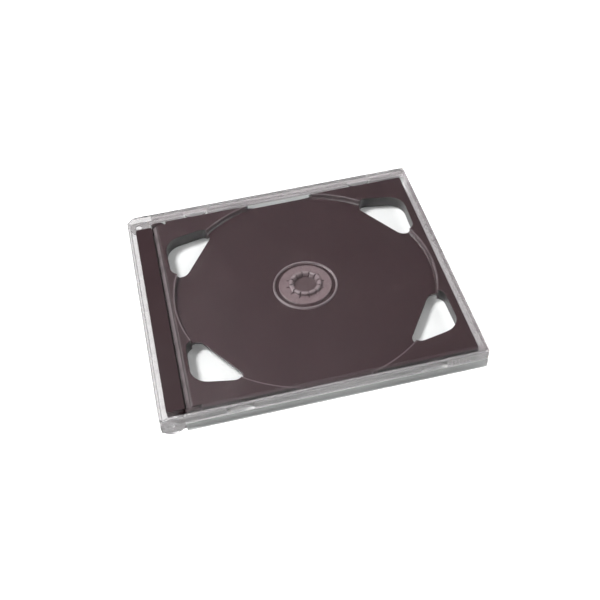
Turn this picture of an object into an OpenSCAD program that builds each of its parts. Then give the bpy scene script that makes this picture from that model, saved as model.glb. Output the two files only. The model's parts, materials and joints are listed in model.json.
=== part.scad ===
// Double disc case in the slim format: a clear base and a clear front cover close round a dark
// double-sided tray that swings on a fixed dark strip. Lengths are in millimetres.
// X runs from the spine to the opening side, Y across the case and Z up.
// The origin is the centre of the underside.

/* [Case] */
// Width across the case
case_w = 125; // [124:1:128]
// Height of the closed case
case_h = 10.4; // [10:0.1:11.4]
// Thickness of the floor, the cover plate and the outer walls
wall = 1.2; // [1:0.1:1.4]
// Radius of the upright outer corners
corner_r = 1; // [0.6:0.1:1.5]
// Gap between faces that close on each other
seam_gap = 0.2; // [0.1:0.05:0.3]
// Radial play of every hinge pin in its hole
pin_play = 0.05; // [0.03:0.01:0.08]

/* [Front cover] */
// Depth of the cover's side walls, from its outer face down
cover_wall_h = 5; // [4.6:0.1:5.2]
// Distance from the spine to the cover plate once the cover lies fully open
open_gap = 1.6; // [0.9:0.1:2]
// Radius of the cover's hinge pins
cover_pin_r = 1.5; // [1.2:0.1:1.8]
// Radius of the half-moon tabs that hold a booklet
tab_r = 7; // [6:0.5:9]
// Distance that a tab stands in from the side wall
tab_reach = 2.7; // [2:0.1:2.8]
// Thickness of a tab
tab_t = 1; // [0.8:0.1:1.2]
// Distance of the tabs from the middle of the disc
tab_spread = 42; // [36:1:44]
// Length of the grip panel on each side wall
grip_l = 11; // [8:1:14]
// Height of the grip panel
grip_h = 3.2; // [2.5:0.1:3.4]
// Depth of the grip panel
grip_depth = 0.35; // [0.2:0.05:0.5]
// Distance from the grip panel to the opening side
grip_inset = 7; // [5:1:10]
// Number of raised bars in the grip panel
grip_bars = 7; // [4:1:9]

/* [Base] */
// Thickness of the base's upright side walls
base_wall_t = 1.1; // [1:0.1:1.3]
// Distance from the top of those walls to the cover plate
base_wall_drop = 1.2; // [1.2:0.1:1.6]
// Depth of the round sockets in the floor that hold the strip's posts
socket_depth = 0.5; // [0.3:0.1:0.6]

/* [Hinge strip] */
// Width of the fixed strip
strip_w = 8; // [7.6:0.1:8.4]
// Distance that each end of the strip stays behind the tray's side edge
strip_step = 1.8; // [1.6:0.1:2.4]
// Wall thickness of the hollow strip
strip_skin = 1.2; // [1:0.1:1.5]
// Gap between the spine wall and the strip
strip_gap = 2.2; // [1.8:0.1:2.4]
// Radius of the two posts inside the strip
post_r = 2; // [1.5:0.1:2.4]
// Distance of the posts from the middle of the strip
post_spread = 38; // [30:1:44]
// Width of the lip that cradles the tray's rounded hinge edge
lip_w = 1.4; // [0.8:0.1:1.6]
// Thickness of the ears that hold the tray's pins
ear_t = 1.5; // [1.2:0.1:1.7]
// Gap between the ears and the tray
ear_gap = 0.3; // [0.2:0.05:0.4]
// Length of the foot that joins an ear to the strip
foot_l = 3; // [2:0.5:5]
// Height of that foot
foot_h = 3; // [2:0.5:4]

/* [Swing tray] */
// Gap for a booklet between the tray and the cover plate
booklet_gap = 1.7; // [1.5:0.1:2]
// Thickness of the web between the two disc recesses
web_t = 1.2; // [1:0.1:1.4]
// Gap between the tray and the base's side walls
tray_side_gap = 1.7; // [1.4:0.1:2.2]
// Gap between the tray and the wall on the opening side
tray_end_gap = 1.8; // [1.4:0.1:2.4]
// Gap between the tray's rounded hinge edge and the strip
tray_hinge_gap = 0.6; // [0.5:0.1:1]
// Radius of the tray's corners on the opening side
tray_corner_r = 1; // [0.6:0.1:1.5]
// Radius of the tray's hinge pins
tray_pin_r = 1.2; // [1:0.1:1.5]
// Width of the rim between the disc recess and the hinge edge
rim_hinge = 3.5; // [3.2:0.1:4]
// Width of the rim between the disc recess and the opening side
rim_end = 2.7; // [2.4:0.1:3.5]
// Diameter of the disc that each side holds
disc_d = 120; // [119:0.5:120.5]
// Clearance round the disc
disc_play = 0.4; // [0.3:0.05:0.6]
// Width of the sloped foot round each recess
recess_slope_w = 0.8; // [0.5:0.1:1.2]
// Height of the sloped foot
recess_slope_h = 0.6; // [0.4:0.1:0.8]

/* [Disc hub] */
// Radius of the bead that snaps into the disc's hole
hub_bead_r = 7.6; // [7.5:0.05:7.7]
// Radius of the fingers below the bead
hub_finger_r = 7.3; // [7:0.05:7.4]
// Radius of the hollow inside the fingers
hub_hollow_r = 5.2; // [4.8:0.1:5.6]
// Number of fingers
hub_fingers = 12; // [8:1:14]
// Width of the slits between the fingers
hub_slit_w = 0.5; // [0.4:0.05:1]
// Radius that the slits reach
hub_slit_r = 9; // [8.6:0.1:11]
// Radius of the raised seat that the disc lies on
hub_seat_r = 12.2; // [11.5:0.1:13]
// Height of the seat over the web
hub_seat_h = 0.8; // [0.6:0.1:0.9]
// Middle radius of the fine ring round the seat
hub_ring_r = 14.5; // [14.2:0.1:16]
// Width of that ring
hub_ring_w = 0.8; // [0.6:0.1:1.2]

/* [Finger openings] */
// Angle at which the round outer end lies on the recess's edge
grasp_outer_angle = 24.5; // [23:0.1:26]
// Angle of the second round end
grasp_upper_angle = 35.9; // [34:0.1:38]
// Distance of the second round end outside the recess's edge
grasp_upper_out = 2.6; // [2:0.1:3]
// Angle at which the narrow tip lies on the recess's edge
grasp_tip_angle = 46.7; // [45:0.1:48]
// Radius of the outer round end
grasp_outer_r = 4.4; // [3.8:0.1:5]
// Radius of the second round end
grasp_upper_r = 8.6; // [8:0.1:9]
// Radius of the tip
grasp_tip_r = 3.6; // [3:0.1:4]

/* [Hidden] */
$fn = 96;
// Overshoot of every cut past the face that it opens
over = 1;
clear_plastic = [0.82, 0.84, 0.83, 0.35];
dark_plastic = [0.31, 0.24, 0.25];

// The disc, its rims, the strip and the walls add up to the length from the spine to the opening side
recess_r = disc_d / 2 + disc_play;
tray_l = rim_hinge + 2 * recess_r + rim_end;
case_l = wall + strip_gap + strip_w + tray_hinge_gap + tray_l + tray_end_gap + wall;

// Faces of the closed case
spine_x = -case_l / 2;
open_x = case_l / 2;
side_y = case_w / 2;
plate_z = case_h - wall;
cover_wall_z = case_h - cover_wall_h;
cover_wall_y = side_y - wall;
base_wall_y = cover_wall_y - seam_gap;
base_wall_z = plate_z - base_wall_drop;
inside_y = base_wall_y - base_wall_t;
skirt_z = cover_wall_z - seam_gap;

// The cover's hinge axis is as far from the spine as from both faces, so the cover lies flat when open
pivot_z = case_h / 2;
pivot_x = spine_x + pivot_z;
cover_x = spine_x + 2 * pivot_z + open_gap;
skirt_x = pivot_x + pivot_z + 1.5 * seam_gap;

// Strip and tray
strip_x = spine_x + wall + strip_gap;
strip_end_x = strip_x + strip_w;
tray_z = wall + seam_gap;
tray_top_z = plate_z - booklet_gap;
tray_t = tray_top_z - tray_z;
tray_r = tray_t / 2;
tray_mid_z = tray_z + tray_r;
tray_x = strip_end_x + tray_hinge_gap;
tray_axis_x = tray_x + tray_r;
tray_end_x = tray_x + tray_l;
tray_y = inside_y - tray_side_gap;
strip_y = tray_y - strip_step;
ear_y = tray_y - ear_t;
barrel_y = ear_y - ear_gap;
recess_depth = (tray_t - web_t) / 2;
disc_x = tray_x + rim_hinge + recess_r;
tab_chord = 2 * sqrt(tab_r * tab_r - pow(tab_r - tab_reach, 2));

// Direction from a circle's middle to the line that touches circles a and b, each [x, y, r], on their right
function touch_angle(a, b) =
    atan2(b.y - a.y, b.x - a.x) - acos((a[2] - b[2]) / norm([b.x - a.x, b.y - a.y]));
// The angle a1 with whole turns added until it is not below a0
function turned_past(a0, a1) = a1 + 360 * ceil((a0 - a1) / 360);
// Points of the arc of circle c from angle a0 to angle a1
function arc_points(c, a0, a1, steps) =
    [for (i = [0:steps]) let (a = a0 + (a1 - a0) * i / steps) [c.x + c[2] * cos(a), c.y + c[2] * sin(a)]];
// Outline that wraps circles given anticlockwise, with straight lines that touch them
function wrap_points(circles, steps = 8) = [
    for (i = [0:len(circles) - 1])
        let (
            c = circles[i],
            before = circles[(i + len(circles) - 1) % len(circles)],
            after = circles[(i + 1) % len(circles)],
            a0 = touch_angle(before, c),
            a1 = turned_past(a0, touch_angle(c, after))
        )
        each arc_points(c, a0, a1, steps)
];

// A box between two values along each axis
module block(x, y, z) {
    translate([x[0], y[0], z[0]]) cube([x[1] - x[0], y[1] - y[0], z[1] - z[0]]);
}

// A block with round upright corners
module plate(x, y, z, r) {
    corners = [[x[0] + r, y[0] + r, r], [x[1] - r, y[0] + r, r], [x[1] - r, y[1] - r, r], [x[0] + r, y[1] - r, r]];
    translate([0, 0, z[0]]) linear_extrude(z[1] - z[0]) polygon(wrap_points(corners));
}

// A round bar along Y between two values
module bar(x, z, y, r) {
    translate([x, y[0], z]) rotate([-90, 0, 0]) cylinder(r = r, h = y[1] - y[0]);
}

// The children and their mirror image on the other side of the case
module both_sides() {
    children();
    mirror([0, 1, 0]) children();
}

// The children and their mirror image in the tray's middle plane
module both_faces() {
    children();
    translate([0, 0, 2 * tray_mid_z]) mirror([0, 0, 1]) children();
}

// The children at the four places mirrored about the disc's middle
module four_corners() {
    translate([disc_x, 0, 0]) {
        both_sides() {
            children();
            mirror([1, 0, 0]) children();
        }
    }
}

// Gaps in the base's side walls for the booklet tabs
module tab_windows() {
    for (side = [-1, 1]) {
        middle = disc_x + side * tab_spread;
        half = tab_chord / 2 + 2 * seam_gap;
        both_sides()
            block([middle - half, middle + half], [inside_y - over, base_wall_y + seam_gap / 2],
                [skirt_z, case_h]);
    }
}

// The strip's two posts, or with grow the sockets in the floor that hold their feet
module posts(grow) {
    foot_z = wall - socket_depth - grow;
    both_sides()
        translate([strip_x + strip_w / 2, post_spread, foot_z])
            cylinder(r = post_r + grow, h = tray_top_z - strip_skin / 2 - foot_z);
}

// Clear base: floor, spine, end wall, side walls and the thicker skirt under the cover's walls
module base_shell() {
    color(clear_plastic)
        difference() {
            union() {
                plate([spine_x, open_x], [-side_y, side_y], [0, skirt_z], corner_r);
                plate([spine_x, open_x], [-base_wall_y, base_wall_y], [0, plate_z], corner_r);
            }
            plate([spine_x + wall, open_x - wall], [-inside_y, inside_y], [wall, case_h], corner_r / 2);
            block([spine_x + wall, open_x - wall], [-side_y, side_y], [base_wall_z, case_h]);
            block([open_x - wall - over, open_x + over], [-side_y, side_y], [plate_z - seam_gap / 2, case_h]);
            both_sides()
                block([spine_x - over, skirt_x], [base_wall_y, side_y + over], [-over, case_h]);
            bar(pivot_x, pivot_z, [-side_y, side_y], cover_pin_r + pin_play);
            tab_windows();
            posts(seam_gap / 2);
        }
}

// Grip panel: a shallow recess with upright bars, on one side wall
module grip_recess() {
    x = open_x - grip_inset - grip_l;
    z = (cover_wall_z + case_h - grip_h) / 2;
    pitch = grip_l / grip_bars;
    difference() {
        block([x, x + grip_l], [side_y - grip_depth, side_y + over], [z, z + grip_h]);
        for (i = [0:grip_bars - 1])
            block([x + pitch * (i + 0.25), x + pitch * (i + 0.75)],
                [side_y - 2 * grip_depth, side_y - grip_depth / 3], [z - over, z + grip_h + over]);
    }
}

// One half-moon tab on the inner face of a side wall
module booklet_tab(x) {
    intersection() {
        translate([x, cover_wall_y + tab_r - tab_reach, cover_wall_z]) cylinder(r = tab_r, h = tab_t);
        block([x - tab_r, x + tab_r], [0, cover_wall_y + wall / 2], [cover_wall_z, cover_wall_z + tab_t]);
    }
}

// Clear front cover: plate, side walls, rounded hinge arms with pins and booklet tabs
module front_cover() {
    color(clear_plastic)
        union() {
            difference() {
                union() {
                    plate([pivot_x, open_x], [-side_y, side_y], [cover_wall_z, case_h], corner_r);
                    both_sides() bar(pivot_x, pivot_z, [cover_wall_y, side_y], pivot_z);
                }
                block([spine_x, open_x + over], [-cover_wall_y, cover_wall_y], [-over, plate_z]);
                block([spine_x, cover_x], [-cover_wall_y, cover_wall_y], [0, case_h + over]);
                both_sides() grip_recess();
            }
            both_sides() {
                bar(pivot_x, pivot_z, [inside_y, cover_wall_y + wall / 2], cover_pin_r);
                for (side = [-1, 1]) booklet_tab(disc_x + side * tab_spread);
            }
        }
}

// Lip along the strip's foot, hollowed to follow the tray's rounded hinge edge
module cradle_lip() {
    difference() {
        block([strip_end_x - strip_skin / 2, strip_end_x + lip_w], [-strip_y, strip_y], [wall, tray_mid_z]);
        bar(tray_axis_x, tray_mid_z, [-case_w, case_w], tray_r + tray_hinge_gap + seam_gap / 2);
    }
}

// Dark fixed strip: a hollow bar on the floor beside the spine, with an ear at each end for the tray
module hinge_strip() {
    color(dark_plastic)
        union() {
            difference() {
                union() {
                    plate([strip_x, strip_end_x], [-strip_y, strip_y], [wall, tray_top_z], corner_r);
                    both_sides() {
                        block([strip_end_x - foot_l, strip_end_x + over / 2],
                            [strip_y - strip_skin, tray_y], [wall, tray_z + foot_h]);
                        block([strip_end_x, tray_axis_x], [ear_y, tray_y], [tray_z, tray_top_z]);
                        bar(tray_axis_x, tray_mid_z, [ear_y, tray_y], tray_r);
                    }
                }
                block([strip_x + strip_skin, strip_end_x - strip_skin],
                    [-strip_y + strip_skin, strip_y - strip_skin], [wall - over, tray_top_z - strip_skin]);
                both_sides()
                    bar(tray_axis_x, tray_mid_z, [ear_y - over, tray_y + over], tray_pin_r + pin_play);
            }
            posts(0);
            cradle_lip();
        }
}

// Recess for one disc, with a sloped foot, open at the tray's top face
module disc_recess() {
    floor_z = tray_top_z - recess_depth;
    translate([disc_x, 0, floor_z]) {
        cylinder(r1 = recess_r - recess_slope_w, r2 = recess_r, h = recess_slope_h, $fn = 180);
        translate([0, 0, recess_slope_h]) cylinder(r = recess_r, h = recess_depth, $fn = 180);
    }
}

// Opening beside the disc's edge for a finger and thumb, at the corner of +X and +Y
module finger_opening() {
    upper = recess_r + grasp_upper_out;
    circles = [
        [recess_r * cos(grasp_outer_angle), recess_r * sin(grasp_outer_angle), grasp_outer_r],
        [upper * cos(grasp_upper_angle), upper * sin(grasp_upper_angle), grasp_upper_r],
        [recess_r * cos(grasp_tip_angle), recess_r * sin(grasp_tip_angle), grasp_tip_r]
    ];
    translate([0, 0, tray_z - over]) linear_extrude(tray_t + 2 * over) polygon(wrap_points(circles));
}

// Hub on the upper face: seat, fine ring and a crown of fingers with a bead
module disc_hub() {
    top = recess_depth;
    sunk = web_t / 4;
    crown = [
        [hub_hollow_r, 0], [hub_finger_r, 0], [hub_finger_r, top - 0.9], [hub_bead_r, top - 0.5],
        [hub_finger_r - 0.3, top], [hub_hollow_r + 0.9, top], [hub_hollow_r + 0.3, top - 0.7]
    ];
    translate([disc_x, 0, tray_top_z - recess_depth])
        difference() {
            union() {
                translate([0, 0, -sunk]) cylinder(r = hub_seat_r, h = hub_seat_h + sunk);
                rotate_extrude() polygon(crown);
                rotate_extrude()
                    translate([hub_ring_r - hub_ring_w / 2, -sunk]) square([hub_ring_w, hub_seat_h + sunk]);
            }
            translate([0, 0, hub_seat_h / 4]) cylinder(r = hub_hollow_r, h = top);
            for (i = [0:hub_fingers - 1])
                rotate([0, 0, 360 * i / hub_fingers])
                    translate([hub_hollow_r - over, -hub_slit_w / 2, hub_seat_h / 3])
                        cube([hub_slit_r - hub_hollow_r + over, hub_slit_w, top]);
        }
}

// Dark swing tray: one moulding with a disc recess and a hub on both faces, and its hinge pins
module swing_tray() {
    color(dark_plastic)
        union() {
            difference() {
                union() {
                    difference() {
                        plate([tray_x, tray_end_x], [-tray_y, tray_y], [tray_z, tray_top_z], tray_corner_r);
                        block([tray_x - over, tray_axis_x], [-case_w, case_w], [0, case_h]);
                    }
                    bar(tray_axis_x, tray_mid_z, [-barrel_y, barrel_y], tray_r);
                }
                both_sides()
                    block([tray_x - over, tray_axis_x + tray_r + ear_gap], [barrel_y, tray_y + over],
                        [tray_z - over, tray_top_z + over]);
                both_faces() disc_recess();
                four_corners() finger_opening();
            }
            both_faces() disc_hub();
            both_sides() bar(tray_axis_x, tray_mid_z, [barrel_y - over, tray_y - seam_gap / 2], tray_pin_r);
        }
}

base_shell();
front_cover();
hinge_strip();
swing_tray();
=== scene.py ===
"""Looks of the double disc case: clear polystyrene mouldings round a dark swing tray, in a pale studio.

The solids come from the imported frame. Each moulding is that solid with its facets joined and its edges
rounded, so every shape and place stays where the frame has it. Lengths are in metres.
"""

import json
import logging
import math
from dataclasses import dataclass, replace
from enum import Enum
from typing import Any, Union

import bmesh
import bpy
from mathutils import Matrix, Vector

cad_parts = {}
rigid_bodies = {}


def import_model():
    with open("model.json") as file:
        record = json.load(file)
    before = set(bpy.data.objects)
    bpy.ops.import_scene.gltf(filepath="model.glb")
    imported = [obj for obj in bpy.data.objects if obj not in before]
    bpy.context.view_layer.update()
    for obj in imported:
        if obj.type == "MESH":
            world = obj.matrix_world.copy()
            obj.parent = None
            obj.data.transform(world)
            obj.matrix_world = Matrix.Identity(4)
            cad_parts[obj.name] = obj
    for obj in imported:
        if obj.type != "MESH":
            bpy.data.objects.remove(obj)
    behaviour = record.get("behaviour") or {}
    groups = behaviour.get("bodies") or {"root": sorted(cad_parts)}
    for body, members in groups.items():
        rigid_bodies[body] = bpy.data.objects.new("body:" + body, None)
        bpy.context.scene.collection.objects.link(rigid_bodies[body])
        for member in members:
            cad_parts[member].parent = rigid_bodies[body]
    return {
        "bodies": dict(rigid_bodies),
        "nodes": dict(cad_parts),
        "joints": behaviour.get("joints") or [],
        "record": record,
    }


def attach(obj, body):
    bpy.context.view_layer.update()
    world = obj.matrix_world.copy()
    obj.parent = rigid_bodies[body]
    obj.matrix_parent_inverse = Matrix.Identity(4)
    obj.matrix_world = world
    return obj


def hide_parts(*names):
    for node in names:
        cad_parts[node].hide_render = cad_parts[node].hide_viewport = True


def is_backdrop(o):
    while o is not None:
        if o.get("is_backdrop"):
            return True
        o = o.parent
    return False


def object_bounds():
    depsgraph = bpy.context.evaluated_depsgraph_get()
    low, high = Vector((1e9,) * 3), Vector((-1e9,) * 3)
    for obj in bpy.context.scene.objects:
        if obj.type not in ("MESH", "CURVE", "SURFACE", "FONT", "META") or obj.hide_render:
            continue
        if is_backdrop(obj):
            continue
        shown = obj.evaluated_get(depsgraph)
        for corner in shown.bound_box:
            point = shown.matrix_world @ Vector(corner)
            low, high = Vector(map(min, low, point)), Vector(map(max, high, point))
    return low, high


logging.basicConfig(level=logging.INFO, format="%(message)s")
log = logging.getLogger("disc_case")

MM = 0.001

# Numbers of the colour sockets on a Mix node
MIX_FIRST, MIX_SECOND, MIX_RESULT = 6, 7, 2

# How strongly polystyrene bends light, clear or dark
POLYSTYRENE_IOR = 1.59

# The level about which a noise pattern swings
NOISE_MIDDLE = 0.5

Triple = tuple[float, float, float]
Span = tuple[float, float]
Colour = Triple
Operand = Union["Value", float, int]


class Slot(Enum):
    """Material slots of the record."""

    CLEAR = "clear_polystyrene"
    DARK = "dark_polystyrene"


class Ray(Enum):
    """Kinds of ray that a material can tell apart."""

    CAMERA = "Is Camera Ray"
    SHADOW = "Is Shadow Ray"
    DIFFUSE = "Is Diffuse Ray"
    GLOSSY = "Is Glossy Ray"
    TRANSMITTED = "Is Transmission Ray"
    REFLECTIONS = "Glossy Depth"


class Axis(Enum):
    """Direction along which a streak or a scratch runs, as the scale of the pattern on each axis."""

    X = (0.06, 1.0, 1.0)
    Y = (1.0, 0.06, 1.0)


@dataclass(frozen=True)
class Pattern:
    """A noise pattern: patches in a metre, finer layers, scale on each axis, and the range that counts."""

    per_metre: float
    detail: float = 3.0
    stretch: Triple = (1.0, 1.0, 1.0)
    low: float = 0.0
    high: float = 1.0


class Value:
    """One number socket of a shader tree, with operators that add Math nodes."""

    def __init__(self, tree: "ShaderTree", socket: bpy.types.NodeSocket) -> None:
        """Wraps a socket.

        Args:
            tree: The tree that the socket belongs to.
            socket: An output socket that holds one number.
        """
        self.tree = tree
        self.socket = socket

    def _math(self, operation: str, *operands: Operand, clamp: bool = False) -> "Value":
        """Adds one Math node.

        Args:
            operation: The node's operation.
            operands: Its inputs in order.
            clamp: True keeps the result between 0 and 1.

        Returns:
            The node's result.
        """
        settings = {"operation": operation, "use_clamp": clamp}
        return self.tree.value("ShaderNodeMath", settings, dict(enumerate(operands)))

    def __add__(self, other: Operand) -> "Value":
        """Returns the sum."""
        return self._math("ADD", self, other)

    def __radd__(self, other: Operand) -> "Value":
        """Returns the sum with a plain number on the left."""
        return self._math("ADD", other, self)

    def __sub__(self, other: Operand) -> "Value":
        """Returns the difference."""
        return self._math("SUBTRACT", self, other)

    def __rsub__(self, other: Operand) -> "Value":
        """Returns the difference from a plain number on the left."""
        return self._math("SUBTRACT", other, self)

    def __mul__(self, other: Operand) -> "Value":
        """Returns the product."""
        return self._math("MULTIPLY", self, other)

    def __rmul__(self, other: Operand) -> "Value":
        """Returns the product with a plain number on the left."""
        return self._math("MULTIPLY", other, self)

    def __abs__(self) -> "Value":
        """Returns the value without its sign."""
        return self._math("ABSOLUTE", self)

    def clamped(self) -> "Value":
        """Returns the value kept between 0 and 1."""
        return self._math("ADD", self, 0.0, clamp=True)

    def highest(self, other: Operand) -> "Value":
        """Returns the higher of the two values."""
        return self._math("MAXIMUM", self, other)

    def squared_root(self) -> "Value":
        """Returns the square root."""
        return self._math("SQRT", self)

    def rising(self, low: float, high: float) -> "Value":
        """Turns the value into 0 below low, 1 above high and a smooth rise between them.

        Args:
            low: Where the rise starts.
            high: Where it ends.

        Returns:
            The risen value.
        """
        settings = {"interpolation_type": "SMOOTHSTEP"}
        inputs = {"Value": self, "From Min": low, "From Max": high}
        return self.tree.value("ShaderNodeMapRange", settings, inputs)

    def within(self, low: float, high: float, soft: float) -> "Value":
        """Returns 1 between low and high, 0 outside and a smooth change of width soft at each end."""
        return self.rising(low - soft, low) * (1.0 - self.rising(high, high + soft))


class ShaderTree:
    """The node tree of one material or world."""

    def __init__(self, owner: Union[bpy.types.Material, bpy.types.World]) -> None:
        """Empties the owner's tree.

        Args:
            owner: The material or the world.
        """
        owner.use_nodes = True
        self.tree = owner.node_tree
        self.tree.nodes.clear()

    def node(self, kind: str, settings: dict[str, Any], inputs: dict[Any, Any]) -> bpy.types.Node:
        """Adds a node, with its settings first and then the values or links of its sockets.

        Args:
            kind: The node's type.
            settings: Attributes of the node, such as an operation.
            inputs: Values, sockets or Value objects by the name or number of the socket.

        Returns:
            The node.
        """
        node = self.tree.nodes.new(kind)
        for name, setting in settings.items():
            setattr(node, name, setting)
        for name, given in inputs.items():
            if isinstance(given, Value):
                given = given.socket
            if isinstance(given, bpy.types.NodeSocket):
                self.tree.links.new(given, node.inputs[name])
            else:
                node.inputs[name].default_value = given
        return node

    def value(self, kind: str, settings: dict[str, Any], inputs: dict[Any, Any], output: Any = 0) -> Value:
        """Adds a node as node does and returns one of its outputs as a Value."""
        return Value(self, self.node(kind, settings, inputs).outputs[output])

    def ray(self, kind: Ray) -> Value:
        """Returns 1 for rays of that kind and 0 for the others."""
        return self.value("ShaderNodeLightPath", {}, {}, kind.value)

    def place(self) -> bpy.types.NodeSocket:
        """Returns the place on the piece in the piece's own space."""
        return self.node("ShaderNodeTexCoord", {}, {}).outputs["Object"]

    def axes(self) -> tuple[Value, Value, Value]:
        """Returns the place's distance along X, Y and Z."""
        parts = self.node("ShaderNodeSeparateXYZ", {}, {0: self.place()})
        return tuple(Value(self, socket) for socket in parts.outputs)

    def scaled_place(self, scale: Triple) -> bpy.types.NodeSocket:
        """Returns the place with each axis scaled."""
        settings = {"operation": "MULTIPLY"}
        return self.node("ShaderNodeVectorMath", settings, {0: self.place(), 1: scale}).outputs[0]

    def noise(self, pattern: Pattern) -> Value:
        """Adds a noise pattern.

        Args:
            pattern: The pattern.

        Returns:
            Its noise, from 0 to 1.
        """
        place = self.scaled_place(pattern.stretch)
        inputs = {"Vector": place, "Scale": pattern.per_metre, "Detail": pattern.detail}
        return self.value("ShaderNodeTexNoise", {}, inputs, "Fac")

    def patches(self, pattern: Pattern) -> Value:
        """Returns 0 where a pattern's noise is below its range, 1 above it and a smooth rise inside it."""
        return self.noise(pattern).rising(pattern.low, pattern.high)

    def colour_mix(self, factor: Operand, first: Any, second: Any) -> bpy.types.NodeSocket:
        """Mixes two colours.

        Args:
            factor: Share of the second colour.
            first: A colour or a colour socket.
            second: A colour or a colour socket.

        Returns:
            The mixed colour.
        """
        first, second = ((*c, 1.0) if isinstance(c, tuple) else c for c in (first, second))
        inputs = {"Factor": factor, MIX_FIRST: first, MIX_SECOND: second}
        return self.node("ShaderNodeMix", {"data_type": "RGBA"}, inputs).outputs[MIX_RESULT]

    def bump(self, height: Value, depth: float) -> bpy.types.NodeSocket:
        """Returns the normal of a surface whose relief, from 0 to 1, is depth metres high."""
        return self.node("ShaderNodeBump", {}, {"Height": height, "Distance": depth}).outputs["Normal"]

    def end_surface(self, shader: bpy.types.NodeSocket) -> None:
        """Makes a shader the material's surface."""
        self.node("ShaderNodeOutputMaterial", {}, {"Surface": shader})


@dataclass(frozen=True)
class ClearPolystyrene:
    """Clear moulded polystyrene: clear plates, and upright walls with painted grey shade, uneven and hazy.
    """

    name: str = "clear_polystyrene_moulded"
    tint: Colour = (0.975, 0.98, 0.979)
    # Painted shade: these greys stand for the shade seen through the walls, partly the real greyness of
    # thick plastic
    wall_shade_tint: Colour = (0.77, 0.735, 0.745)
    streak_shade_tint: Colour = (0.65, 0.61, 0.625)
    skirt_shade_tint: Colour = (0.34, 0.35, 0.345)
    lamp_tint: Colour = (0.985, 0.985, 0.985)
    polish: float = 0.012
    wall_haze: float = 0.22
    skirt_haze: float = 0.25
    streaks: Pattern = Pattern(300.0, 2.0, Axis.X.value, 0.4, 0.7)
    scratches: Pattern = Pattern(2600.0, 0.0, low=0.74, high=0.8)
    scratched: Pattern = Pattern(60.0, 1.0, low=0.5, high=0.62)
    scuff: float = 0.10
    smears: Pattern = Pattern(38.0, 2.0, low=0.52, high=0.75)
    smear_share: float = 1 / 6
    ripple: Pattern = Pattern(70.0, 1.0, Axis.X.value)
    ripple_depth: float = 0.02 * MM
    end_from: float = 69.6 * MM
    spine_from: float = 66.9 * MM
    sides_from: float = 58.4 * MM
    skirt_top: float = 5.3 * MM
    # Painted shade: how deep the painted grey is on the arms, the spine, the base walls and the outer band
    arm_from: float = 60.4 * MM
    arm_shade_share: float = 0.52
    spine_shade_share: float = 0.55
    base_wall: Span = (59.7 * MM, 61.2 * MM)
    base_wall_shade_share: float = 0.1
    outer_from: float = 62.3 * MM
    outer_top: float = 9.9 * MM
    outer_shade_share: float = 0.85
    blend: float = 0.3 * MM
    base_blend: float = 0.05 * MM
    outer_blend: float = 0.1 * MM

    def material(self) -> bpy.types.Material:
        """Makes the finish: glass to the eye, and a thin film to the light that falls through it.

        Returns:
            The material.
        """
        made = bpy.data.materials.new(self.name)
        tree = ShaderTree(made)
        walls, depth, skirt = self._walls(tree)
        # Painted shade: the walls are tinted grey for the shade seen through them
        grey = tree.colour_mix(tree.patches(self.streaks), self.wall_shade_tint, self.streak_shade_tint)
        grey = tree.colour_mix(depth, grey, self.skirt_shade_tint)
        wear = self._hairlines(tree) * (1.0 - walls) * self.scuff
        wear = wear + tree.patches(self.smears) * (self.scuff * self.smear_share)
        haze = walls * self.wall_haze + skirt * self.skirt_haze
        glass = tree.node(
            "ShaderNodeBsdfPrincipled",
            {},
            {
                "Base Color": tree.colour_mix(walls, self.tint, grey),
                "Roughness": self.polish + wear + haze,
                "IOR": POLYSTYRENE_IOR,
                "Transmission Weight": 1.0,
                "Normal": tree.bump(tree.noise(self.ripple), self.ripple_depth),
            },
        )
        film = tree.node("ShaderNodeBsdfTransparent", {}, {"Color": (*self.lamp_tint, 1.0)})
        passing = tree.ray(Ray.SHADOW).highest(tree.ray(Ray.DIFFUSE))
        shell = tree.node("ShaderNodeMixShader", {}, {0: passing, 1: glass.outputs[0], 2: film.outputs[0]})
        tree.end_surface(shell.outputs[0])
        return made

    def _walls(self, tree: ShaderTree) -> tuple[Value, Value, Value]:
        """Finds the upright walls by their place on the case.

        Args:
            tree: The material's tree.

        Returns:
            How much a place belongs to the walls, how deep the painted grey shade is, and how much it is
            skirt.
        """
        x, y, z = tree.axes()
        ends = x.rising(self.end_from - self.blend, self.end_from)
        spine = (0.0 - x).rising(self.spine_from - self.blend, self.spine_from)
        sides = abs(y).rising(self.sides_from - self.blend, self.sides_from)
        low = 1.0 - z.rising(self.skirt_top, self.skirt_top + self.blend)
        arms = (0.0 - x).rising(self.arm_from - self.blend, self.arm_from)
        skirt = sides * low * (1.0 - arms)
        outer = abs(y).rising(self.outer_from - self.outer_blend, self.outer_from) * (1.0 - arms)
        outer = outer * (1.0 - z.rising(self.outer_top - self.blend, self.outer_top))
        depth = skirt.highest(sides * arms * self.arm_shade_share)
        depth = depth.highest(spine * (1.0 - sides) * self.spine_shade_share)
        depth = depth.highest(abs(y).within(*self.base_wall, self.base_blend) * self.base_wall_shade_share)
        depth = depth.highest(outer * self.outer_shade_share)
        return ends.highest(spine).highest(sides), depth, skirt

    def _hairlines(self, tree: ShaderTree) -> Value:
        """Returns 1 on the fine scratches that run along either axis and 0 elsewhere."""
        along_x, along_y = (tree.patches(replace(self.scratches, stretch=way.value)) for way in Axis)
        return along_x.highest(along_y) * tree.patches(self.scratched)


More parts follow.
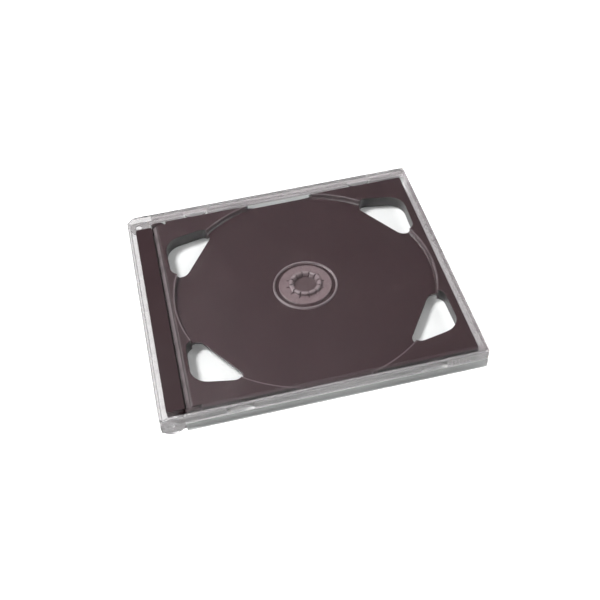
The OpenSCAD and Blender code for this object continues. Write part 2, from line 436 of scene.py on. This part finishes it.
@dataclass(frozen=True)
class DarkPolystyrene:
    """Dark plum polystyrene, satin where it was moulded plain."""

    name: str = "dark_polystyrene_moulded"
    colour: Colour = (0.0265, 0.0115, 0.014)
    deep_colour: Colour = (0.0245, 0.0105, 0.013)
    clouds: Pattern = Pattern(45.0, low=0.3, high=0.7)
    satin: float = 0.33
    sheen_patches: Pattern = Pattern(60.0, 1.0)
    sheen_change: float = 0.08
    grain: Pattern = Pattern(3200.0, 2.0)
    grain_depth: float = 0.003 * MM

    def material(self) -> bpy.types.Material:
        """Makes the finish.

        Returns:
            The material.
        """
        made = bpy.data.materials.new(self.name)
        tree = ShaderTree(made)
        shader = tree.node(
            "ShaderNodeBsdfPrincipled",
            {},
            {
                "Base Color": self.colour_of(tree),
                "Roughness": self.roughness_of(tree),
                "IOR": POLYSTYRENE_IOR,
                "Normal": tree.bump(tree.noise(self.grain), self.grain_depth),
            },
        )
        tree.end_surface(shader.outputs[0])
        return made

    def colour_of(self, tree: ShaderTree) -> bpy.types.NodeSocket:
        """Returns the colour over the surface."""
        return tree.colour_mix(tree.patches(self.clouds), self.deep_colour, self.colour)

    def roughness_of(self, tree: ShaderTree) -> Value:
        """Returns the roughness over the surface."""
        return self.satin + (tree.noise(self.sheen_patches) - NOISE_MIDDLE) * self.sheen_change


@dataclass(frozen=True)
class TrayPolystyrene(DarkPolystyrene):
    """The dark polystyrene with painted highlights on the edges round the disc's place and a painted sheen
    on the hub in it.
    """

    name: str = "dark_polystyrene_tray"
    centre: Span = (4.9 * MM, 0.0)
    middle_z: float = 4.45 * MM
    # Painted sheen: the hub's seat is lightened for the sheen it catches, fainter in its well
    seat_sheen_colour: Colour = (0.195, 0.140, 0.149)
    seat_radius: float = 12.35 * MM
    well_radius: float = 5.3 * MM
    well_share: float = 0.62
    mottle: Pattern = Pattern(900.0, low=0.2, high=0.8)
    mottle_share: float = 0.3
    crown_radius: float = 7.9 * MM
    crown_height: float = 1.7 * MM
    crown_polish: float = 0.16
    # Painted highlight: the hub's fingers are lightened for their glints
    crown_highlight_share: float = 0.5
    # Painted highlights: this pale colour goes on the recess's edge, the hub's ring, the hinge and the
    # fingers
    highlight_colour: Colour = (0.32, 0.262, 0.275)
    recess_edge: Span = (59.9 * MM, 60.9 * MM)
    recess_highlight_share: float = 0.4
    edge_height: float = 1.3 * MM
    hub_ring: Span = (14.0 * MM, 15.0 * MM)
    hub_ring_highlight_share: float = 0.64
    hinge_edge: Span = (-59.3 * MM, -57.5 * MM)
    hinge_highlight_share: float = 0.6
    # Patches that break up the painted highlights on the edges
    edge_highlight_patches: Pattern = Pattern(120.0, 2.0, low=0.2, high=0.6)
    edge_highlight_patch_share: float = 0.5
    # Painted shade: near-black on the tray's walls outside the recess
    wall_shade_colour: Colour = (0.006, 0.003, 0.0035)
    wall_height: float = 2.75 * MM
    soft: float = 0.15 * MM

    def colour_of(self, tree: ShaderTree) -> bpy.types.NodeSocket:
        """Lays the hub's painted sheen, the painted shade on the walls and the painted highlights on the
        edges over the plain colour.

        Args:
            tree: The material's tree.

        Returns:
            The colour over the surface.
        """
        colour = tree.colour_mix(self._seat_sheen(tree), super().colour_of(tree), self.seat_sheen_colour)
        # Painted shade on the walls outside the recess
        colour = tree.colour_mix(self._walls(tree), colour, self.wall_shade_colour)
        # Painted highlights on the edges and on the hub's fingers
        pale = self._edge_highlights(tree).highest(self._crown(tree) * self.crown_highlight_share)
        return tree.colour_mix(pale, colour, self.highlight_colour)

    def roughness_of(self, tree: ShaderTree) -> Value:
        """Returns the roughness over the surface."""
        plain = super().roughness_of(tree)
        return plain + self._crown(tree) * (self.crown_polish - plain)

    def _seat_sheen(self, tree: ShaderTree) -> Value:
        """Finds the hub's seat, where a sheen is painted, fainter in its well.

        Args:
            tree: The material's tree.

        Returns:
            How much painted sheen a place has.
        """
        radius = self._radius(tree)
        seat = 1.0 - radius.rising(self.seat_radius - self.soft, self.seat_radius)
        well = 1.0 - radius.rising(self.well_radius - self.soft, self.well_radius)
        mottle = tree.patches(self.mottle) * self.mottle_share
        return seat * (1.0 - well * self.well_share) * (1.0 - mottle)

    def _walls(self, tree: ShaderTree) -> Value:
        """Returns 1 on the walls outside the recess, below both faces, where shade is painted, and 0
        elsewhere.
        """
        outside = self._radius(tree).rising(self.recess_edge[1] - self.soft, self.recess_edge[1])
        return outside * (1.0 - self._height(tree).rising(self.wall_height, self.wall_height + self.soft))

    def _edge_highlights(self, tree: ShaderTree) -> Value:
        """Finds the painted highlights on the edges of the recess, the hub's ring and the hinge, broken
        into patches.

        Args:
            tree: The material's tree.

        Returns:
            How much painted highlight a place has.
        """
        x, _, _ = tree.axes()
        radius = self._radius(tree)
        top = self._height(tree).rising(self.edge_height - self.soft, self.edge_height)
        edges = radius.within(*self.recess_edge, self.soft) * top * self.recess_highlight_share
        edges = edges.highest(radius.within(*self.hub_ring, self.soft) * self.hub_ring_highlight_share)
        edges = edges.highest(x.within(*self.hinge_edge, self.soft) * self.hinge_highlight_share)
        return edges * (tree.patches(self.edge_highlight_patches) * self.edge_highlight_patch_share + (1.0 - self.edge_highlight_patch_share))

    def _crown(self, tree: ShaderTree) -> Value:
        """Returns 1 on the hub's fingers above the seat and 0 elsewhere."""
        inside = 1.0 - self._radius(tree).rising(self.crown_radius, self.crown_radius + self.soft)
        return inside * self._height(tree).rising(self.crown_height, self.crown_height + self.soft)

    def _height(self, tree: ShaderTree) -> Value:
        """Returns the distance above or below the tray's middle plane."""
        return abs(tree.axes()[2] - self.middle_z)

    def _radius(self, tree: ShaderTree) -> Value:
        """Returns the distance from the disc's axis."""
        x, y = (value - middle for value, middle in zip(tree.axes(), self.centre))
        return (x * x + y * y).squared_root()


@dataclass(frozen=True)
class PaleFloor:
    """White studio floor that keeps the object's shadow and shows white to the eye elsewhere."""

    name: str = "pale_floor"
    white: Colour = (0.86, 0.862, 0.862)
    speck_white: Colour = (0.80, 0.805, 0.805)
    specks: Pattern = Pattern(400.0)
    speck_share: float = 0.1
    shade_lift: float = 0.17
    shade_half: Span = (64.0 * MM, 57.0 * MM)
    shade_blend: float = 6.0 * MM
    lift: float = 0.36
    far_lift: float = 1.0
    far_from: float = 0.25
    far_to: float = 1.1

    def material(self) -> bpy.types.Material:
        """Makes the finish.

        Returns:
            The material.
        """
        made = bpy.data.materials.new(self.name)
        tree = ShaderTree(made)
        colour = tree.colour_mix(tree.noise(self.specks) * self.speck_share, self.white, self.speck_white)
        matt = tree.node("ShaderNodeBsdfDiffuse", {}, {"Color": colour})
        seen = tree.ray(Ray.CAMERA).highest(tree.ray(Ray.GLOSSY)).highest(tree.ray(Ray.TRANSMITTED))
        glow = tree.node("ShaderNodeEmission", {}, {"Strength": seen * self._lift(tree)})
        both = tree.node("ShaderNodeAddShader", {}, {0: matt.outputs[0], 1: glow.outputs[0]})
        tree.end_surface(both.outputs[0])
        return made

    def _lift(self, tree: ShaderTree) -> Value:
        """Works out the light that whitens the floor to the eye: less under the case and more far away.

        Args:
            tree: The material's tree.

        Returns:
            The strength of that light.
        """
        x, y, _ = tree.axes()
        far = (x * x + y * y).squared_root().rising(self.far_from, self.far_to)
        half_x, half_y = self.shade_half
        past_x = abs(x).rising(half_x - self.shade_blend, half_x)
        past_y = abs(y).rising(half_y - self.shade_blend, half_y)
        under = 1.0 - past_x.highest(past_y)
        return far * (self.far_lift - self.lift) + self.lift - under * (self.lift - self.shade_lift)


@dataclass(frozen=True)
class Moulding:
    """One moulded piece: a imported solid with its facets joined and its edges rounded."""

    node: str
    body: str
    piece: str
    slot: Slot
    edge_radius: float = 0.25 * MM
    edge_steps: int = 2
    room_share: float = 0.35
    sharp_angle: float = math.radians(28)
    knife_angle: float = math.radians(115)
    flat_angle: float = math.radians(0.4)
    bend_limit: float = math.cos(math.radians(60))
    weld: float = 0.02 * MM
    shortest: float = 1e-9
    farthest: float = 1.0

    def build(self, frame: dict[str, Any]) -> bpy.types.Object:
        """Makes the piece in the place of its solid.

        Args:
            frame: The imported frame.

        Returns:
            The piece, riding on its body.
        """
        mesh = frame["nodes"][self.node].data.copy()
        mesh.name = self.piece
        self._join_facets(mesh)
        made = bpy.data.objects.new(self.piece, mesh)
        bpy.context.scene.collection.objects.link(made)
        self._round_edges(made)
        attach(made, self.body)
        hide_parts(self.node)
        return made

    def dress(self, made: bpy.types.Object, material: bpy.types.Material) -> None:
        """Gives the piece its finish.

        Args:
            made: The piece.
            material: The finish.
        """
        made.data.materials.clear()
        made.data.materials.append(material)
        evaluated = made.evaluated_get(bpy.context.evaluated_depsgraph_get()).to_mesh()
        log.info("%s: %d faces on %s, %s", made.name, len(evaluated.polygons), self.body, material.name)

    def _join_facets(self, mesh: bpy.types.Mesh) -> None:
        """Welds a solid's split corners, joins its flat facets and gives each edge its share of rounding.

        Args:
            mesh: The mesh, which is changed.
        """
        for name in ("custom_normal", "sharp_edge", "sharp_face"):
            if name in mesh.attributes:
                mesh.attributes.remove(mesh.attributes[name])
        shape = bmesh.new()
        shape.from_mesh(mesh)
        bmesh.ops.remove_doubles(shape, verts=shape.verts, dist=self.weld)
        bmesh.ops.dissolve_degenerate(shape, dist=self.weld, edges=shape.edges)
        bmesh.ops.dissolve_limit(
            shape, angle_limit=self.flat_angle, verts=shape.verts, edges=shape.edges, delimit={"MATERIAL"}
        )
        for face in shape.faces:
            face.smooth = True
        self._weigh_edges(shape)
        shape.to_mesh(mesh)
        shape.free()

    def _weigh_edges(self, shape: bmesh.types.BMesh) -> None:
        """Gives each edge its share of the rounding, the same along every line of edges.

        Args:
            shape: The mesh, which is changed.
        """
        weight = shape.edges.layers.float.new("bevel_weight_edge")
        room = {}
        for edge in shape.edges:
            if len(edge.link_faces) == 2 and self.sharp_angle < edge.calc_face_angle() < self.knife_angle:
                room[edge] = self._room(edge)
        waiting = set(room)
        while waiting:
            line = [waiting.pop()]
            for edge in line:
                for vertex in edge.verts:
                    away = (edge.other_vert(vertex).co - vertex.co).normalized()
                    for other in vertex.link_edges:
                        if other not in waiting:
                            continue
                        ahead = (other.other_vert(vertex).co - vertex.co).normalized()
                        if away.dot(ahead) < -self.bend_limit:
                            waiting.discard(other)
                            line.append(other)
            tightest = min(room[edge] for edge in line)
            share = min(1.0, self.room_share * tightest / self.edge_radius)
            for edge in line:
                edge[weight] = share

    def _room(self, edge: bmesh.types.BMEdge) -> float:
        """Measures the room that an edge has for its rounding.

        Args:
            edge: The edge.

        Returns:
            The distance to the nearest edge that faces it across a face.
        """
        a, b = (v.co for v in edge.verts)
        along = b - a
        length = max(along.length, self.shortest)
        nearest = self.farthest
        for face in edge.link_faces:
            for other in face.edges:
                if set(other.verts) & set(edge.verts):
                    continue
                points = [v.co for v in other.verts]
                shares = [(p - a).dot(along) / length**2 for p in points]
                if max(shares) < 0 or min(shares) > 1:
                    continue
                for p, share in zip(points, shares):
                    foot = a + along * min(max(share, 0.0), 1.0)
                    nearest = min(nearest, (p - foot).length)
                if min(shares) < 0 and max(shares) > 1:
                    middle = points[0].lerp(points[1], 0.5)
                    share = (middle - a).dot(along) / length**2
                    nearest = min(nearest, (middle - a - along * share).length)
        return nearest

    def _round_edges(self, made: bpy.types.Object) -> None:
        """Adds the rounding and the even shading.

        Args:
            made: The piece.
        """
        bevel = made.modifiers.new("rounded_edges", "BEVEL")
        bevel.width = self.edge_radius
        bevel.segments = self.edge_steps
        bevel.limit_method = "WEIGHT"
        bevel.use_clamp_overlap = False
        bevel.miter_outer = "MITER_SHARP"
        shading = made.modifiers.new("even_shading", "WEIGHTED_NORMAL")
        shading.keep_sharp = False


@dataclass(frozen=True)
class Lamp:
    """One soft box that points at the case."""

    name: str
    azimuth: float
    elevation: float
    distance: float
    size: float
    power: float

    def build(self, target: Vector) -> bpy.types.Object:
        """Makes the lamp.

        Args:
            target: The place that it points at.

        Returns:
            The lamp.
        """
        light = bpy.data.lights.new(self.name, "AREA")
        light.shape = "SQUARE"
        light.size = self.size
        light.energy = self.power
        made = bpy.data.objects.new(self.name, light)
        back = direction(self.azimuth, self.elevation)
        made.location = target + back * self.distance
        made.rotation_mode = "QUATERNION"
        made.rotation_quaternion = back.to_track_quat("Z", "Y")
        bpy.context.scene.collection.objects.link(made)
        return made


def direction(azimuth: float, elevation: float) -> Vector:
    """Returns the way from the case to a viewer or lamp, who stands at -Y for 0 degrees and +X for 90."""
    a, e = math.radians(azimuth), math.radians(elevation)
    return Vector((math.sin(a) * math.cos(e), -math.cos(a) * math.cos(e), math.sin(e)))


@dataclass(frozen=True)
class Studio:
    """Camera, lamps, world and floor."""

    azimuth: float = -10.21
    elevation: float = 47.71
    roll: float = -3.84
    distance: float = 444.74 * MM
    aim: Triple = (1.32 * MM, -3.25 * MM, 0.0)
    lens: float = 57.45
    sensor_width: float = 36.0
    seen_from: float = 0.01
    seen_to: float = 20.0
    floor_radius: float = 2.5
    floor_sides: int = 64
    floor_drop: float = 0.08 * MM
    sky: float = 0.08
    horizon: float = 0.48
    sky_heights: Span = (0.05, 0.55)
    mirror_bounces: int = 5
    clear_bounces: int = 24
    lamps: tuple[Lamp, ...] = (
        Lamp("lamp_back_left", -115.0, 58.0, 1.2, 0.3, 18.5),
        Lamp("lamp_front_left", -55.0, 42.0, 1.3, 0.8, 3.5),
        Lamp("lamp_right", 80.0, 42.0, 1.3, 0.7, 5.0),
    )

    def build_camera(self) -> bpy.types.Object:
        """Makes the camera at the photograph's viewpoint.

        Returns:
            The camera.
        """
        data = bpy.data.cameras.new("photograph_camera")
        data.lens = self.lens
        data.sensor_width = self.sensor_width
        data.clip_start = self.seen_from
        data.clip_end = self.seen_to
        back = direction(self.azimuth, self.elevation)
        flat = math.radians(self.azimuth)
        right = Vector((math.cos(flat), math.sin(flat), 0.0))
        up = back.cross(right)
        turn = Matrix.Rotation(math.radians(self.roll), 3, back)
        right, up = turn @ right, turn @ up
        place = Vector(self.aim) + back * self.distance
        made = bpy.data.objects.new("photograph_camera", data)
        made.matrix_world = Matrix.Translation(place) @ Matrix((right, up, back)).transposed().to_4x4()
        bpy.context.scene.collection.objects.link(made)
        bpy.context.scene.camera = made
        return made

    def build_world(self) -> None:
        """Makes a soft even world that shows white to the eye."""
        world = bpy.data.worlds.new("studio")
        bpy.context.scene.world = world
        tree = ShaderTree(world)
        place = tree.node("ShaderNodeTexCoord", {}, {}).outputs["Generated"]
        height = Value(tree, tree.node("ShaderNodeSeparateXYZ", {}, {0: place}).outputs[2])
        strength = self.horizon - height.rising(*self.sky_heights) * (self.horizon - self.sky)
        first = 1.0 - tree.ray(Ray.REFLECTIONS).clamped()
        seen = tree.ray(Ray.CAMERA).highest(tree.ray(Ray.TRANSMITTED) * first)
        lit = strength + seen * (1.0 - strength)
        background = tree.node("ShaderNodeBackground", {}, {"Color": (1.0, 1.0, 1.0, 1.0), "Strength": lit})
        tree.node("ShaderNodeOutputWorld", {}, {"Surface": background.outputs[0]})

    def build_floor(self) -> bpy.types.Object:
        """Makes the floor just under the case.

        Returns:
            The floor.
        """
        shape = bmesh.new()
        bmesh.ops.create_circle(shape, cap_ends=True, radius=self.floor_radius, segments=self.floor_sides)
        mesh = bpy.data.meshes.new("floor")
        shape.to_mesh(mesh)
        shape.free()
        made = bpy.data.objects.new("floor", mesh)
        made.location.z = -self.floor_drop
        mesh.materials.append(PaleFloor().material())
        bpy.context.scene.collection.objects.link(made)
        made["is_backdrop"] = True
        return made

    def build(self, middle: Vector) -> None:
        """Makes everything round the case.

        Args:
            middle: The middle of the case.
        """
        self.build_camera()
        self.build_world()
        self.build_floor()
        for lamp in self.lamps:
            lamp.build(middle)
        scene = bpy.context.scene
        scene.view_settings.view_transform = "Standard"
        cycles = scene.cycles
        cycles.max_bounces = cycles.transmission_bounces = self.clear_bounces
        cycles.transparent_max_bounces = self.clear_bounces
        cycles.glossy_bounces = self.mirror_bounces
        log.info("studio: camera, world, floor and %d lamps", len(self.lamps))


@dataclass(frozen=True)
class DiscCase:
    """The whole case: four mouldings that ride on the bodies of the frame."""

    base: Moulding = Moulding("base_shell", "base", "base_moulding", Slot.CLEAR)
    cover: Moulding = Moulding("front_cover", "cover", "cover_moulding", Slot.CLEAR)
    strip: Moulding = Moulding("hinge_strip", "base", "strip_moulding", Slot.DARK)
    tray: Moulding = Moulding("swing_tray", "tray", "tray_moulding", Slot.DARK)

    def build(self, frame: dict[str, Any]) -> None:
        """Makes and dresses each moulding.

        Args:
            frame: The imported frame.
        """
        clear = ClearPolystyrene().material()
        finishes = {
            self.base: clear,
            self.cover: clear,
            self.strip: DarkPolystyrene().material(),
            self.tray: TrayPolystyrene().material(),
        }
        for moulding, material in finishes.items():
            moulding.dress(moulding.build(frame), material)


def main() -> None:
    """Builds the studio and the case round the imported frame."""
    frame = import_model()
    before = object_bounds()
    middle = (before[0] + before[1]) / 2
    Studio().build(middle)
    DiscCase().build(frame)


if __name__ == "__main__":
    main()
